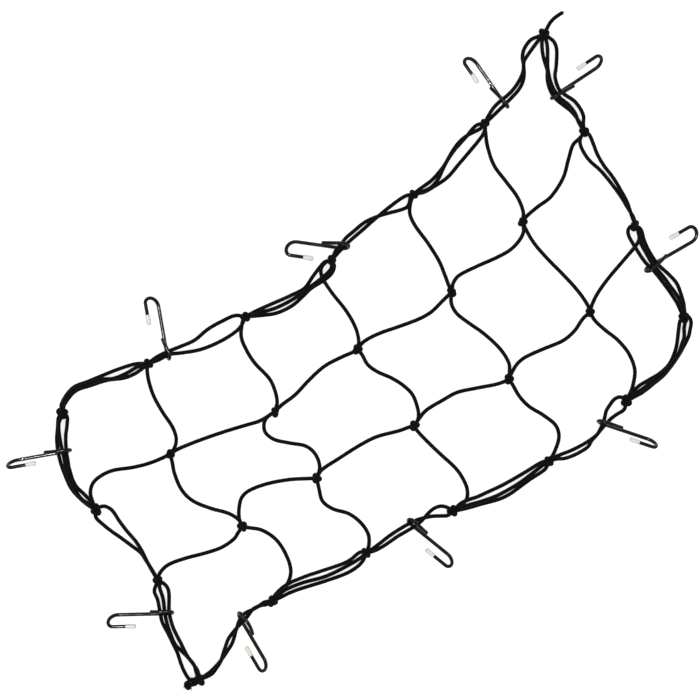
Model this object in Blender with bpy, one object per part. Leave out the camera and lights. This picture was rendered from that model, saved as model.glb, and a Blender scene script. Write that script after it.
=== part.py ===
"""Elastic cargo net with ten wire hooks, laid open on a flat surface.

The net is one length of round elastic cord knotted into three by six square cells. Its border
has two or three loose strands on each side of a cell and its middle has one. Each hook is a
bent wire: a hairpin eye closed round the border strands, a straight shank that lies on the
surface under them, and a J bend whose tip carries a soft cap.

Units are metres. The long side of the net runs along +X, +Z is up, the surface is z = 0, and
the origin is under the middle of the whole. Tables of places are in millimetres.
"""

import math

import bmesh
import bpy
import numpy as np
from mathutils import Matrix, Vector

NAME = "cargo_net"
MM = 0.001

# Where the middle of the whole lies in the tables' own places, millimetres.
MIDDLE = (-0.91, -2.56)

# Cord
CORD_RADIUS = 0.00225
CORD_LEVEL = CORD_RADIUS * math.cos(math.radians(30))  # middle of a cord lying on a flat side
STRAND_GAP = 0.0003
SAMPLE_STEP = 0.002
BEND_RADIUS = 0.060  # of a strand that rises over another
KEEP_WITHIN = 0.0012  # how far a chord may cut inside a bend of the smooth route
LONGEST_STEP = 0.030

# Knots: how wide each size is on the whole and how high, and the ridges of their turns
KNOT_SIZES = {"inner": (0.0125, 0.0090), "border": (0.0155, 0.0110), "stopper": (0.0095, 0.0080)}
KNOT_PRESSED = (1.25, 0.45)  # its full height and its middle's, in heights, before the floor flattens it
KNOT_LEVELS = ((0.87, 0.58), (0.50, 0.92), (0.0, 1.0), (-0.50, 0.92), (-0.87, 0.58))  # height and width
VALLEY_REACH = 0.70  # between two ridges, of how far the ridges reach
RIDGE_SLANT = 24  # how far a ridge turns from the middle of the knot to its top, degrees
KNOT_FADE = (0.45, 1.15)  # where a strand starts to leave its knot and has left it, in knot widths
FLOOR_GAP = 0.0010  # between the flat under a knot and the strands inside it

# Hooks
WIRE_RADIUS = 0.0021
WIRE_LEVEL = WIRE_RADIUS * math.cos(math.radians(30))  # middle of a wire lying on a flat side
WIRE_GAP = 0.0010  # between the shank and the strands laid over it
EYE_GAP = 0.0005  # between the eye and the strands in it
EYE_STEP = 0.00025  # by which the eye is moved out until it clears them
J_WIDTH = 0.0176
J_EASE = 0.45  # how much more gently the J bends off the shank than on to the tip
TIP_INSIDE = 0.0080  # wire inside the cap
LEG_END_RISE = 0.0044  # of the short leg's end above the shank
EYE_LEVEL_LENGTH = 0.0175
EYE_LEAST_HEIGHT = 0.0090
ARC_STEPS = 7

# Caps
CAP_RADIUS = 0.0034
CAP_BORE_RADIUS = 0.0027
CAP_LENGTH = 0.0130
CAP_BORE_DEPTH = 0.0090
CAP_SIDES = 8

# Knots: place in millimetres; the three outer turns of its cord, each the way it points in degrees
# from +X and how far it reaches in millimetres; and the size. A row of knots is named by its letter,
# from A at the far side to D at the near one.
KNOTS = {
    "L": (-348, 176, (0, 7.0), (120, 9.1), (240, 7.8), "border"),
    "A1": (-227, 168, (86, 6.9), (200, 6.2), (293, 7.2), "border"),
    "A2": (-96, 149, (47, 6.5), (159, 6.5), (282, 7.3), "inner"),
    "A3": (31, 147, (75, 7.1), (200, 6.3), (333, 5.9), "border"),
    "A4": (160, 158, (90, 6.6), (183, 5.9), (283, 6.6), "inner"),
    "A5": (281, 181, (88, 6.7), (202, 6.1), (332, 6.3), "border"),
    "T": (403, 232, (-12, 7.4), (96, 8.0), (225, 7.4), "border"),
    "B0": (-381, 55, (52, 8.3), (180, 7.2), (280, 8.7), "border"),
    "B1": (-267, 61, (63, 6.1), (198, 6.6), (299, 6.8), "inner"),
    "B2": (-131, 32, (-20, 5.7), (95, 5.7), (245, 7.9), "inner"),
    "B3": (-4, 39, (84, 6.4), (208, 7.6), (322, 7.1), "inner"),
    "B4": (132, 32, (0, 5.3), (117, 7.2), (262, 7.0), "inner"),
    "B5": (252, 55, (78, 6.0), (190, 6.8), (325, 6.8), "inner"),
    "B6": (377, 104, (8, 6.8), (121, 7.5), (253, 6.6), "inner"),
    "C0": (-366, -60, (20, 6.4), (140, 7.2), (262, 7.4), "border"),
    "C1": (-243, -63, (22, 7.0), (133, 7.2), (262, 7.1), "inner"),
    "C2": (-134, -65, (88, 7.4), (200, 7.1), (312, 6.7), "inner"),
    "C3": (2, -78, (98, 6.8), (213, 7.9), (328, 7.0), "inner"),
    "C4": (130, -96, (90, 7.1), (212, 7.1), (333, 6.8), "inner"),
    "C5": (259, -84, (-12, 6.2), (115, 6.8), (228, 6.2), "inner"),
    "C6": (364, -26, (18, 7.2), (130, 5.7), (217, 7.8), "border"),
    "B": (-392, -189, (35, 6.6), (138, 6.6), (270, 9.4), "border"),
    "D1": (-264, -159, (67, 7.1), (216, 8.1), (304, 7.9), "border"),
    "D2": (-135, -175, (5, 5.6), (104, 7.5), (267, 7.0), "inner"),
    "D3": (-18, -192, (48, 8.0), (147, 7.8), (268, 7.5), "border"),
    "D4": (115, -207, (3, 7.4), (107, 7.1), (266, 7.2), "border"),
    "D5": (234, -199, (60, 8.8), (187, 7.2), (299, 8.2), "border"),
    "R": (351, -154, (12, 7.4), (122, 8.0), (240, 7.6), "border"),
    "S": (-407, -186, (-20, 4.9), (107, 6.1), (222, 6.1), "stopper"),
}

# Single strands inside the net, in millimetres: the knots at the two ends and the way between them
INNER_STRANDS = (
    # row B
    ("B0", "B1", (
        (-379, 64), (-375, 76), (-366, 84), (-352, 86), (-336, 83), (-315, 73), (-296, 66), (-278, 62),
    )),
    ("B1", "B2", ((-254, 60), (-226, 54), (-196, 46), (-170, 38), (-154, 33), (-142, 32))),
    ("B2", "B3", ((-118, 34), (-99, 35), (-72, 41), (-48, 44), (-22, 41), (-12, 39))),
    ("B3", "B4", ((8, 42), (28, 40), (55, 33), (81, 27), (98, 26), (119, 30))),
    ("B4", "B5", ((139, 40), (150, 44), (175, 41), (204, 36), (222, 35), (238, 39), (247, 45))),
    ("B5", "B6", ((261, 58), (279, 60), (298, 61), (324, 72), (343, 88), (357, 99), (368, 101))),
    # row C
    ("C0", "C1", (
        (-360, -54), (-346, -51), (-324, -56), (-298, -65), (-279, -70), (-261, -70), (-251, -66),
    )),
    ("C1", "C2", (
        (-241, -53), (-234, -42), (-224, -33), (-212, -31), (-190, -36), (-164, -47), (-142, -60),
    )),
    ("C2", "C3", ((-124, -60), (-100, -60), (-66, -61), (-44, -64), (-18, -73), (-6, -76))),
    ("C3", "C4", ((10, -75), (24, -71), (48, -72), (68, -74), (91, -83), (112, -92), (122, -95))),
    ("C4", "C5", ((138, -91), (150, -86), (162, -85), (186, -89), (212, -94), (230, -92), (248, -85))),
    ("C5", "C6", ((265, -78), (281, -69), (303, -61), (328, -54), (349, -48), (358, -44), (363, -36))),
    # columns 1 to 5, from row A to row D
    ("A1", "B1", (
        (-230, 163), (-234, 157), (-239, 148), (-244, 131), (-246, 108), (-246, 88), (-249, 74),
        (-254, 67), (-260, 63),
    )),
    ("B1", "C1", (
        (-270, 52), (-276, 38), (-280, 16), (-276, -3), (-262, -24), (-248, -40), (-242, -53),
    )),
    ("C1", "D1", (
        (-238, -68), (-226, -80), (-218, -99), (-218, -121), (-224, -141), (-236, -152), (-250, -156),
    )),
    ("A2", "B2", (
        (-102, 146), (-114, 131), (-118, 111), (-118, 94), (-114, 70), (-116, 55), (-122, 40),
    )),
    ("B2", "C2", (
        (-144, 31), (-151, 26), (-155, 17), (-151, 4), (-138, -10), (-123, -25), (-119, -40),
        (-123, -55),
    )),
    ("C2", "D2", (
        (-139, -77), (-144, -92), (-139, -107), (-126, -123), (-120, -140), (-120, -157), (-127, -169),
    )),
    ("A3", "B3", ((25, 149), (16, 147), (11, 141), (9, 131), (9, 113), (11, 85), (9, 62), (3, 46))),
    ("B3", "C3", ((-3, 30), (-4, 16), (1, 2), (11, -14), (18, -30), (21, -46), (16, -65), (10, -74))),
    ("C3", "D3", ((1, -85), (4, -104), (9, -127), (14, -148), (15, -161), (12, -179), (3, -190))),
    ("A4", "B4", ((151, 150), (143, 140), (140, 125), (141, 99), (140, 72), (136, 53), (133, 41))),
    ("B4", "C4", (
        (128, 28), (123, 20), (122, 7), (127, -9), (136, -33), (142, -60), (141, -79), (136, -88),
    )),
    ("C4", "D4", (
        (130, -103), (129, -122), (132, -138), (141, -158), (146, -176), (141, -190), (127, -201),
    )),
    ("A5", "B5", ((276, 172), (268, 155), (262, 132), (263, 108), (264, 84), (259, 64))),
    ("B5", "C5", ((250, 45), (249, 28), (252, 2), (257, -25), (261, -52), (261, -74))),
    ("C5", "D5", (
        (258, -95), (262, -112), (268, -131), (270, -152), (265, -173), (252, -188), (243, -194),
    )),
)

# Strands of the border, in the same form. Those of one side lie beside, over and under each other.
BORDER_STRANDS = (
    # far side
    ("L", "A1", (
        (-338, 184), (-321, 190), (-300, 185), (-280, 179), (-262, 169), (-248, 166), (-235, 167),
    )),
    ("L", "A1", ((-339, 188), (-321, 195), (-300, 191), (-285, 188), (-264, 184), (-241, 177))),
    ("L", "A1", (
        (-339, 186), (-321, 193), (-300, 188), (-284, 183), (-272, 177), (-255, 174), (-240, 172),
    )),
    ("A1", "A2", (
        (-214, 164), (-199, 162), (-186, 156), (-166, 147), (-145, 142), (-122, 140), (-107, 142),
    )),
    ("A1", "A2", (
        (-214, 169), (-199, 167), (-182, 163), (-164, 160), (-142, 162), (-119, 160), (-105, 157),
    )),
    ("A2", "A3", ((-78, 139), (-61, 131), (-40, 128), (-24, 130), (-10, 134), (8, 133), (22, 137))),
    ("A2", "A3", ((-78, 143), (-59, 137), (-36, 134), (-20, 134), (0, 135), (13, 136), (25, 139))),
    ("A2", "A3", ((-80, 147), (-56, 143), (-34, 139), (-16, 137), (0, 143), (14, 148), (23, 150))),
    ("A3", "A4", ((42, 150), (52, 152), (61, 154), (85, 157), (108, 160), (131, 162), (150, 162))),
    ("A3", "A4", (
        (42, 154), (52, 157), (61, 160), (68, 161), (91, 163), (111, 159), (128, 154), (145, 151),
        (153, 153),
    )),
    ("A4", "A5", ((172, 153), (184, 152), (206, 152), (228, 158), (246, 163), (269, 170), (277, 175))),
    ("A4", "A5", (
        (168, 159), (188, 160), (207, 165), (229, 174), (243, 178), (255, 181), (264, 184), (273, 185),
    )),
    ("A4", "A5", (
        (168, 155), (182, 153), (194, 157), (207, 165), (220, 171), (231, 176), (243, 180), (255, 181),
        (273, 179),
    )),
    ("A5", "T", (
        (299, 184), (316, 187), (326, 189), (338, 192), (348, 197), (355, 204), (361, 214), (366, 224),
        (374, 231), (386, 235), (396, 233),
    )),
    ("A5", "T", (
        (289, 186), (304, 192), (328, 195), (343, 200), (356, 208), (363, 217), (371, 221), (390, 228),
    )),
    ("T", None, ((411, 236), (417, 239), (425, 241), (440, 241))),
    # right side
    ("T", "B6", (
        (396, 226), (391, 219), (386, 208), (382, 192), (373, 177), (371, 166), (371, 158), (378, 141),
        (379, 120),
    )),
    ("T", "B6", (
        (406, 224), (408, 217), (406, 208), (394, 191), (382, 174), (381, 165), (382, 156), (389, 140),
        (387, 122), (381, 113),
    )),
    ("T", "B6", (
        (401, 224), (396, 214), (384, 195), (379, 180), (376, 166), (376, 157), (381, 143), (380, 130),
        (377, 118),
    )),
    ("B6", "C6", (
        (369, 101), (364, 95), (362, 84), (363, 70), (367, 54), (369, 36), (370, 14), (369, -5),
        (368, -18),
    )),
    ("B6", "C6", (
        (380, 99), (379, 90), (375, 72), (374, 56), (375, 40), (374, 22), (372, 4), (368, -10),
    )),
    ("C6", "R", (
        (358, -24), (353, -27), (350, -35), (349, -52), (349, -70), (351, -81), (353, -96), (354, -110),
        (354, -133), (352, -144),
    )),
    ("C6", "R", (
        (367, -34), (363, -47), (361, -60), (360, -75), (361, -84), (366, -103), (367, -116), (361, -136),
        (356, -146),
    )),
    ("C6", "R", (
        (364, -32), (361, -46), (357, -62), (355, -75), (356, -86), (358, -105), (358, -130), (355, -144),
    )),
    # near side
    ("R", "D5", (
        (345, -154), (339, -160), (329, -172), (320, -181), (304, -191), (287, -194), (272, -193),
        (258, -192), (246, -194),
    )),
    ("R", "D5", (
        (356, -156), (355, -163), (350, -169), (343, -176), (329, -184), (318, -189), (302, -195),
        (287, -199), (258, -201), (246, -200),
    )),
    ("R", "D5", (
        (348, -160), (344, -164), (338, -173), (330, -179), (320, -186), (304, -193), (287, -196),
        (258, -197), (246, -197),
    )),
    ("D5", "D4", (
        (227, -206), (213, -206), (202, -207), (191, -210), (181, -213), (168, -214), (147, -212),
        (125, -207),
    )),
    ("D5", "D4", (
        (233, -193), (230, -190), (224, -189), (214, -192), (207, -195), (199, -202), (183, -212),
        (172, -215), (164, -219), (150, -219), (133, -215), (124, -210),
    )),
    ("D4", "D3", ((109, -211), (103, -213), (80, -213), (53, -214), (38, -212), (20, -206), (0, -199))),
    ("D4", "D3", ((106, -207), (93, -208), (67, -209), (40, -207), (20, -202), (-1, -195))),
    ("D4", "D3", ((106, -203), (80, -202), (53, -200), (39, -198), (17, -194), (7, -191), (-4, -189))),
    ("D3", "D2", (
        (-26, -193), (-33, -189), (-43, -183), (-52, -179), (-61, -176), (-76, -174), (-96, -173),
        (-116, -174), (-126, -175),
    )),
    ("D3", "D2", (
        (-22, -183), (-28, -178), (-36, -176), (-45, -177), (-56, -180), (-66, -181), (-89, -180),
        (-113, -180), (-126, -178),
    )),
    ("D2", "D1", (
        (-142, -180), (-152, -183), (-168, -182), (-196, -175), (-220, -168), (-240, -163),
        (-254, -161),
    )),
    ("D2", "D1", ((-143, -176), (-167, -175), (-193, -171), (-220, -162), (-240, -157), (-254, -157))),
    ("D2", "D1", (
        (-141, -170), (-156, -171), (-170, -169), (-196, -162), (-225, -154), (-240, -152), (-254, -154),
    )),
    ("D1", "B", (
        (-272, -159), (-279, -156), (-288, -155), (-300, -153), (-308, -155), (-318, -162),
        (-334, -174), (-343, -179), (-358, -185), (-376, -189),
    )),
    ("D1", "B", (
        (-272, -155), (-280, -155), (-288, -154), (-300, -158), (-308, -160), (-318, -162),
        (-333, -168), (-343, -174), (-351, -180), (-357, -185), (-366, -189), (-376, -192),
    )),
    # left side
    ("B", "C0", (
        (-388, -180), (-388, -170), (-389, -158), (-391, -148), (-393, -137), (-390, -120),
        (-385, -103), (-380, -95), (-374, -83), (-370, -70),
    )),
    ("B", "C0", (
        (-401, -181), (-402, -172), (-400, -160), (-396, -147), (-394, -134), (-392, -121),
        (-391, -104), (-387, -93), (-381, -79), (-377, -68),
    )),
    ("B", "C0", (
        (-390, -180), (-387, -170), (-388, -158), (-386, -140), (-385, -124), (-381, -110), (-376, -98),
        (-368, -86), (-362, -76), (-362, -68),
    )),
    ("C0", "B0", (
        (-365, -45), (-365, -33), (-365, -20), (-369, -8), (-375, 9), (-381, 25), (-385, 39), (-386, 48),
    )),
    ("C0", "B0", (
        (-365, -45), (-364, -33), (-362, -18), (-362, -5), (-364, 10), (-365, 27), (-365, 43),
        (-369, 52), (-375, 55),
    )),
    ("B0", "L", (
        (-384, 63), (-389, 78), (-391, 95), (-388, 115), (-385, 125), (-380, 138), (-372, 154),
        (-362, 167), (-355, 175),
    )),
    ("B0", "L", (
        (-380, 66), (-382, 78), (-385, 95), (-380, 115), (-375, 125), (-371, 134), (-360, 152),
        (-351, 163), (-349, 169),
    )),
    ("B0", "L", (
        (-382, 66), (-385, 80), (-388, 95), (-384, 115), (-379, 125), (-375, 135), (-367, 155),
        (-359, 168), (-352, 173),
    )),
    # stopper knot at the near left corner, with two cut ends
    ("B", "S", ((-399, -191),)),
    ("B", "S", ((-402, -183),)),
    ("S", None, ((-410, -186), (-415, -187))),
    ("S", None, ((-408, -189), (-408, -194))),
)

# Hooks, numbered clockwise from the far side. In millimetres and degrees: the eye's end, the way
# from the eye to the J bend, the side of the bend (1 is left of that way), how far the bend is
# turned up from the surface, how far the short leg lies to the left at the eye and at its end, the
# short leg's length, the whole length from the eye's end to the J bend's end, and how far back from
# there the cap starts; lengths are along the middle of the wire
HOOKS = (
    (315.3, 182.0, 90.8, 1, 39.5, -0.5, 3.5, 32.0, 77.7, 20.2),
    (366.0, 161.7, -0.5, 1, 49.5, -1.8, -3.2, 31.5, 78.0, 20.4),
    (343.8, -77.3, -4.0, 1, 5.5, -4.7, 1.5, 32.0, 79.0, 20.6),
    (190.7, -200.7, -52.5, -1, 65, 3.0, 3.0, 31.0, 77.0, 21.9),
    (-71.6, -170.9, -73.0, -1, 47.5, 5.8, 4.2, 28.0, 75.5, 24.3),
    (-308.2, -148.3, -93.5, -1, 49, 5.5, 3.6, 31.5, 76.2, 25.3),
    (-374.0, -104.0, 147.3, 1, 41, -3.6, -3.2, 27.0, 79.3, 22.0),
    (-365.7, 132.4, 156.1, 1, 65.5, -1.7, -3.5, 32.0, 78.7, 23.1),
    (-204.2, 158.9, 66.0, 1, 34.5, -4.0, 2.0, 25.5, 77.8, 20.2),
    (55.7, 147.1, 138.0, 1, 5.5, -6.0, -3.1, 33.0, 75.6, 22.2),
)


def clear_scene():
    for obj in list(bpy.data.objects):
        bpy.data.objects.remove(obj)


def new_collection(name):
    collection = bpy.data.collections.new(name)
    bpy.context.scene.collection.children.link(collection)
    return collection


def new_material(name, colour, roughness, alpha=1.0):
    material = bpy.data.materials.new(name)
    material.use_nodes = True
    shader = material.node_tree.nodes["Principled BSDF"]
    shader.inputs["Base Color"].default_value = (*colour, 1.0)
    shader.inputs["Roughness"].default_value = roughness
    shader.inputs["Alpha"].default_value = alpha
    return material


def place(x, y):
    """A place in the tables, in metres from the middle of the whole."""
    return np.array([(x - MIDDLE[0]) * MM, (y - MIDDLE[1]) * MM])


# ---------------------------------------------------------------- routes of the strands


def smooth_route(points):
    """Points SAMPLE_STEP apart on a smooth curve through the given ones."""
    points = [np.array(p, float) for p in points]
    padded = [2 * points[0] - points[1], *points, 2 * points[-1] - points[-2]]
    route = []
    for before, start, end, after in zip(padded, padded[1:], padded[2:], padded[3:]):
        chord = np.linalg.norm(end - start)
        leave = (end - before) * chord / (np.linalg.norm(start - before) + chord)
        arrive = (after - start) * chord / (np.linalg.norm(after - end) + chord)
        steps = max(2, round(chord / SAMPLE_STEP))
        for i in range(steps):
            t = i / steps
            route.append(
                (2 * t**3 - 3 * t**2 + 1) * start
                + (t**3 - 2 * t**2 + t) * leave
                + (3 * t**2 - 2 * t**3) * end
                + (t**3 - t**2) * arrive
            )
    route.append(points[-1])
    return np.array(route)


def strand_route(start, end, way):
    """The middle line of one strand in plan, from knot to knot or to its free end."""
    points = [place(*KNOTS[start][:2]), *(place(*p) for p in way)]
    if end is not None:
        points.append(place(*KNOTS[end][:2]))
    return smooth_route(points)


def knot_sizes(name):
    return KNOT_SIZES[KNOTS[name][5]]


def clearance(route, name):
    """How far each point of a route is from the middle of a knot, in that knot's widths."""
    return np.linalg.norm(route - place(*KNOTS[name][:2]), axis=1) / knot_sizes(name)[0]


def resting_heights(route, laid):
    """Heights that clear everything laid before, each a point with its own reach."""
    heights = np.full(len(route), CORD_LEVEL)
    if len(laid):
        offsets = route[:, None, :] - laid[None, :, :2]
        across = (offsets**2).sum(axis=2)
        reach = laid[None, :, 3] ** 2
        over = np.where(across < reach, laid[None, :, 2] + np.sqrt(np.clip(reach - across, 0, None)), 0)
        heights = np.maximum(heights, over.max(axis=1))
    return heights


def eased(route, heights):
    """The same heights with each rise spread along the strand, as a springy cord does."""
    along = np.concatenate([[0], np.cumsum(np.linalg.norm(np.diff(route, axis=0), axis=1))])
    drop = (along[:, None] - along[None, :]) ** 2 / (2 * BEND_RADIUS)
    return (heights[None, :] - drop).max(axis=1).clip(CORD_LEVEL)


def tucked(heights, away, name):
    """The same heights, kept between the underside and the top of a knot where they reach it."""
    share = np.clip((away - KNOT_FADE[0]) / (KNOT_FADE[1] - KNOT_FADE[0]), 0, 1)
    inside = heights.clip(CORD_LEVEL + FLOOR_GAP, knot_sizes(name)[1] - CORD_RADIUS - FLOOR_GAP)
    return inside + (heights - inside) * share * share * (3 - 2 * share)


def lay_strands(strands, laid):
    """(start, end, points in space) of each strand, laid one after another over what is laid."""
    routes = []
    reach = 2 * CORD_RADIUS + STRAND_GAP
    for start, end, way in strands:
        route = strand_route(start, end, way)
        ends = [(name, clearance(route, name)) for name in (start, end) if name is not None]
        clear = np.all([away > KNOT_FADE[0] for _, away in ends], axis=0)
        heights = np.where(clear, resting_heights(route, laid), CORD_LEVEL)
        heights = eased(route, heights)
        for name, away in ends:
            heights = tucked(heights, away, name)
        points = np.column_stack([route, heights])
        laid = np.vstack([laid, np.column_stack([points, np.full(len(points), reach)])[clear]])
        routes.append((start, end, points))
    return routes, laid


def thinned(points):
    """As few of the points as keep the line within KEEP_WITHIN, none LONGEST_STEP apart."""
    kept = [0]
    while kept[-1] < len(points) - 1:
        first = kept[-1]
        last = first + 1
        while last + 1 < len(points):
            chord = points[last + 1] - points[first]
            length = np.linalg.norm(chord)
            between = points[first + 1 : last + 1] - points[first]
            away = np.linalg.norm(np.cross(between, chord / length), axis=1)
            if length > LONGEST_STEP or away.max() > KEEP_WITHIN:
                break
            last += 1
        kept.append(last)
    return swelled(points[kept])


def swelled(points):
    """The same points moved out of their bends, so that the chords lie on the line on average."""
    moved = points.copy()
    for before, here, after, new in zip(points, points[1:], points[2:], moved[1:]):
        chord = (after - before) / np.linalg.norm(after - before)
        out = here - before
        new += (out - (out @ chord) * chord) / 8
    moved[:, 2] = moved[:, 2].clip(CORD_LEVEL)
    return moved


def filled(line):
    """Points close together along the straight pieces of a line."""
    points = []
    for start, end in zip(line, line[1:]):
        steps = math.ceil(np.linalg.norm(end - start) / (SAMPLE_STEP / 4))
        points.extend(start + (end - start) * i / steps for i in range(steps))
    return np.array(points)


# ---------------------------------------------------------------- shapes


def tube(name, points, radius):
    """A closed six-sided tube along the points, as a mesh object."""
    curve = bpy.data.curves.new(name, "CURVE")
    curve.dimensions = "3D"
    curve.bevel_depth = radius
    curve.bevel_resolution = 1
    curve.use_fill_caps = True
    curve.twist_mode = "Z_UP"
    spline = curve.splines.new("POLY")
    spline.points.add(len(points) - 1)
    for spot, point in zip(spline.points, points):
        spot.co = (*point, 1.0)
    guide = bpy.data.objects.new(name + "_line", curve)
    bpy.context.scene.collection.objects.link(guide)
    bpy.context.view_layer.update()
    graph = bpy.context.evaluated_depsgraph_get()
    mesh = bpy.data.meshes.new_from_object(guide.evaluated_get(graph))
    solid = bpy.data.objects.new(name, mesh)
    solid.matrix_world = guide.matrix_world
    bpy.data.objects.remove(guide)
    weld(mesh)
    return solid


def weld(mesh):
    shape = bmesh.new()
    shape.from_mesh(mesh)
    bmesh.ops.remove_doubles(shape, verts=shape.verts, dist=1e-6)
    bmesh.ops.recalc_face_normals(shape, faces=shape.faces)
    shape.to_mesh(mesh)
    shape.free()


def knot_outline(lobes):
    """Six places round a knot, ridge and valley by turns: the way each points and how far it reaches."""
    places = []
    for (way, reach), (next_way, next_reach) in zip(lobes, (*lobes[1:], lobes[0])):
        next_way += 360 if next_way < way else 0
        places.append((way, reach * MM))
        places.append(((way + next_way) / 2, (reach + next_reach) / 2 * VALLEY_REACH * MM))
    return places


def knot(name):
    """A knot as a lump with its three turns raised as slanting ridges, flat where it lies."""
    x, y, *lobes, _ = KNOTS[name]
    middle = place(x, y)
    full_height, middle_height = (knot_sizes(name)[1] * share for share in KNOT_PRESSED)
    shape = bmesh.new()

    def corner(up, out=0.0, way=0.0, reach=0.0):
        turned = math.radians(way + RIDGE_SLANT * up)
        plan = middle + out * reach * np.array([math.cos(turned), math.sin(turned)])
        return shape.verts.new((*plan, max(middle_height + up * full_height / 2, 0)))

    outline = knot_outline(lobes)
    rings = [[corner(up, out, way, reach) for way, reach in outline] for up, out in KNOT_LEVELS]
    top, bottom = corner(1.0), corner(-1.0)
    count = len(outline)
    for i in range(count):
        j = (i + 1) % count
        shape.faces.new((top, rings[0][i], rings[0][j]))
        for upper, lower in zip(rings, rings[1:]):
            shape.faces.new((upper[i], lower[i], lower[j], upper[j]))
        shape.faces.new((bottom, rings[-1][j], rings[-1][i]))
    bmesh.ops.recalc_face_normals(shape, faces=shape.faces)
    mesh = bpy.data.meshes.new("knot_" + name)
    shape.to_mesh(mesh)
    shape.free()
    return bpy.data.objects.new("knot_" + name, mesh)


def joined(name, pieces, collection, helpers):
    """One solid from many that overlap."""
    whole, *others = pieces
    whole.name = name
    collection.objects.link(whole)
    for other in others:
        other.hide_render = True
        other.display_type = "WIRE"
        helpers.objects.link(other)
    union = whole.modifiers.new("Join strands and knots", "BOOLEAN")
    union.operation = "UNION"
    union.operand_type = "COLLECTION"
    union.collection = helpers
    union.solver = "MANIFOLD"
    return whole


# ---------------------------------------------------------------- hooks and caps


def hook_frame(row):
    """The eye's end and the ways along the shank and to its left, all in plan."""
    heading = math.radians(row[2])
    along = np.array([math.cos(heading), math.sin(heading)])
    left = np.array([-along[1], along[0]])
    return place(row[0], row[1]), along, left


def shank_samples(row):
    """The shank as laid points, which strands pass over."""
    eye, along, _ = hook_frame(row)
    lengths = np.arange(EYE_LEAST_HEIGHT / 2, row[8] * MM - J_WIDTH / 2, SAMPLE_STEP)
    plan = eye + lengths[:, None] * along
    reach = WIRE_RADIUS + CORD_RADIUS + WIRE_GAP
    return np.column_stack([plan, np.full(len(plan), WIRE_LEVEL), np.full(len(plan), reach)])


def eye_height(row, strands):
    """How far the short leg lies above the shank to clear the strands under it."""
    eye, along, left = hook_frame(row)
    reach = WIRE_RADIUS + CORD_RADIUS + EYE_GAP
    offsets = strands[:, :2] - eye
    lengths = offsets @ along
    sideways = offsets @ left - np.interp(lengths, (0, row[7] * MM), (row[5] * MM, row[6] * MM))
    under = (abs(sideways) < reach) & (lengths > 0) & (lengths < EYE_LEVEL_LENGTH)
    needed = strands[under, 2] + np.sqrt(reach**2 - sideways[under] ** 2)
    return max(EYE_LEAST_HEIGHT, needed.max(initial=0) - WIRE_LEVEL)


def eye_arc(row, height, start, steps):
    """The middle line of the eye's end, from the short leg down to the shank."""
    eye, along, left = hook_frame(row)
    radius = height / 2
    arc = []
    for i in range(steps):
        share = i / (steps - 1)
        angle = math.pi * share
        plan = eye + (start + radius - radius * math.sin(angle)) * along + row[5] * MM * (1 - share) * left
        arc.append(np.array([*plan, WIRE_LEVEL + radius + radius * math.cos(angle)]))
    return arc


def eye_start(row, height, strands):
    """Where along the hook the eye's end lies to clear the strands in it, zero or a little less."""
    near = strands[np.linalg.norm(strands[:, :2] - hook_frame(row)[0], axis=1) < EYE_LEVEL_LENGTH]
    start = 0.0
    while True:
        arc = np.array(eye_arc(row, height, start, 4 * ARC_STEPS))
        away = np.linalg.norm(near[:, None, :] - arc[None, :, :], axis=2)
        if away.min(initial=1.0) >= WIRE_RADIUS + CORD_RADIUS + EYE_GAP:
            return start
        start -= EYE_STEP


def hook_points(row, height, start):
    """The middle line of the wire, from the short leg's end round the eye to the J bend's tip."""
    eye, along, left = hook_frame(row)
    side, turned_up = row[3], math.radians(row[4])
    eye_left, end_left, leg_length = row[5] * MM, row[6] * MM, row[7] * MM
    bend = J_WIDTH / 2
    bend_start = row[8] * MM - bend * (1 + J_EASE * math.pi / 4)

    def spot(length, sideways, up):
        return np.array([*(eye + length * along + sideways * left), up])

    level_left = np.interp(EYE_LEVEL_LENGTH, (height / 2, leg_length), (eye_left, end_left))
    points = [
        spot(leg_length, end_left, WIRE_LEVEL + LEG_END_RISE),
        spot(EYE_LEVEL_LENGTH, level_left, WIRE_LEVEL + height),
        *eye_arc(row, height, start, ARC_STEPS),
    ]
    for i in range(ARC_STEPS):
        angle = math.pi * i / (ARC_STEPS - 1)
        forth = math.sin(angle) + J_EASE * (angle / 2 + math.sin(2 * angle) / 4)
        out = bend * (1 - math.cos(angle) + J_EASE * math.sin(angle) ** 2 / 2)
        points.append(
            spot(
                bend_start + bend * forth,
                side * out * math.cos(turned_up),
                WIRE_LEVEL + out * math.sin(turned_up),
            )
        )
    tip = spot(
        (row[8] - row[9]) * MM - TIP_INSIDE,
        side * J_WIDTH * math.cos(turned_up),
        WIRE_LEVEL + J_WIDTH * math.sin(turned_up),
    )
    points.append(tip)
    return points


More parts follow.
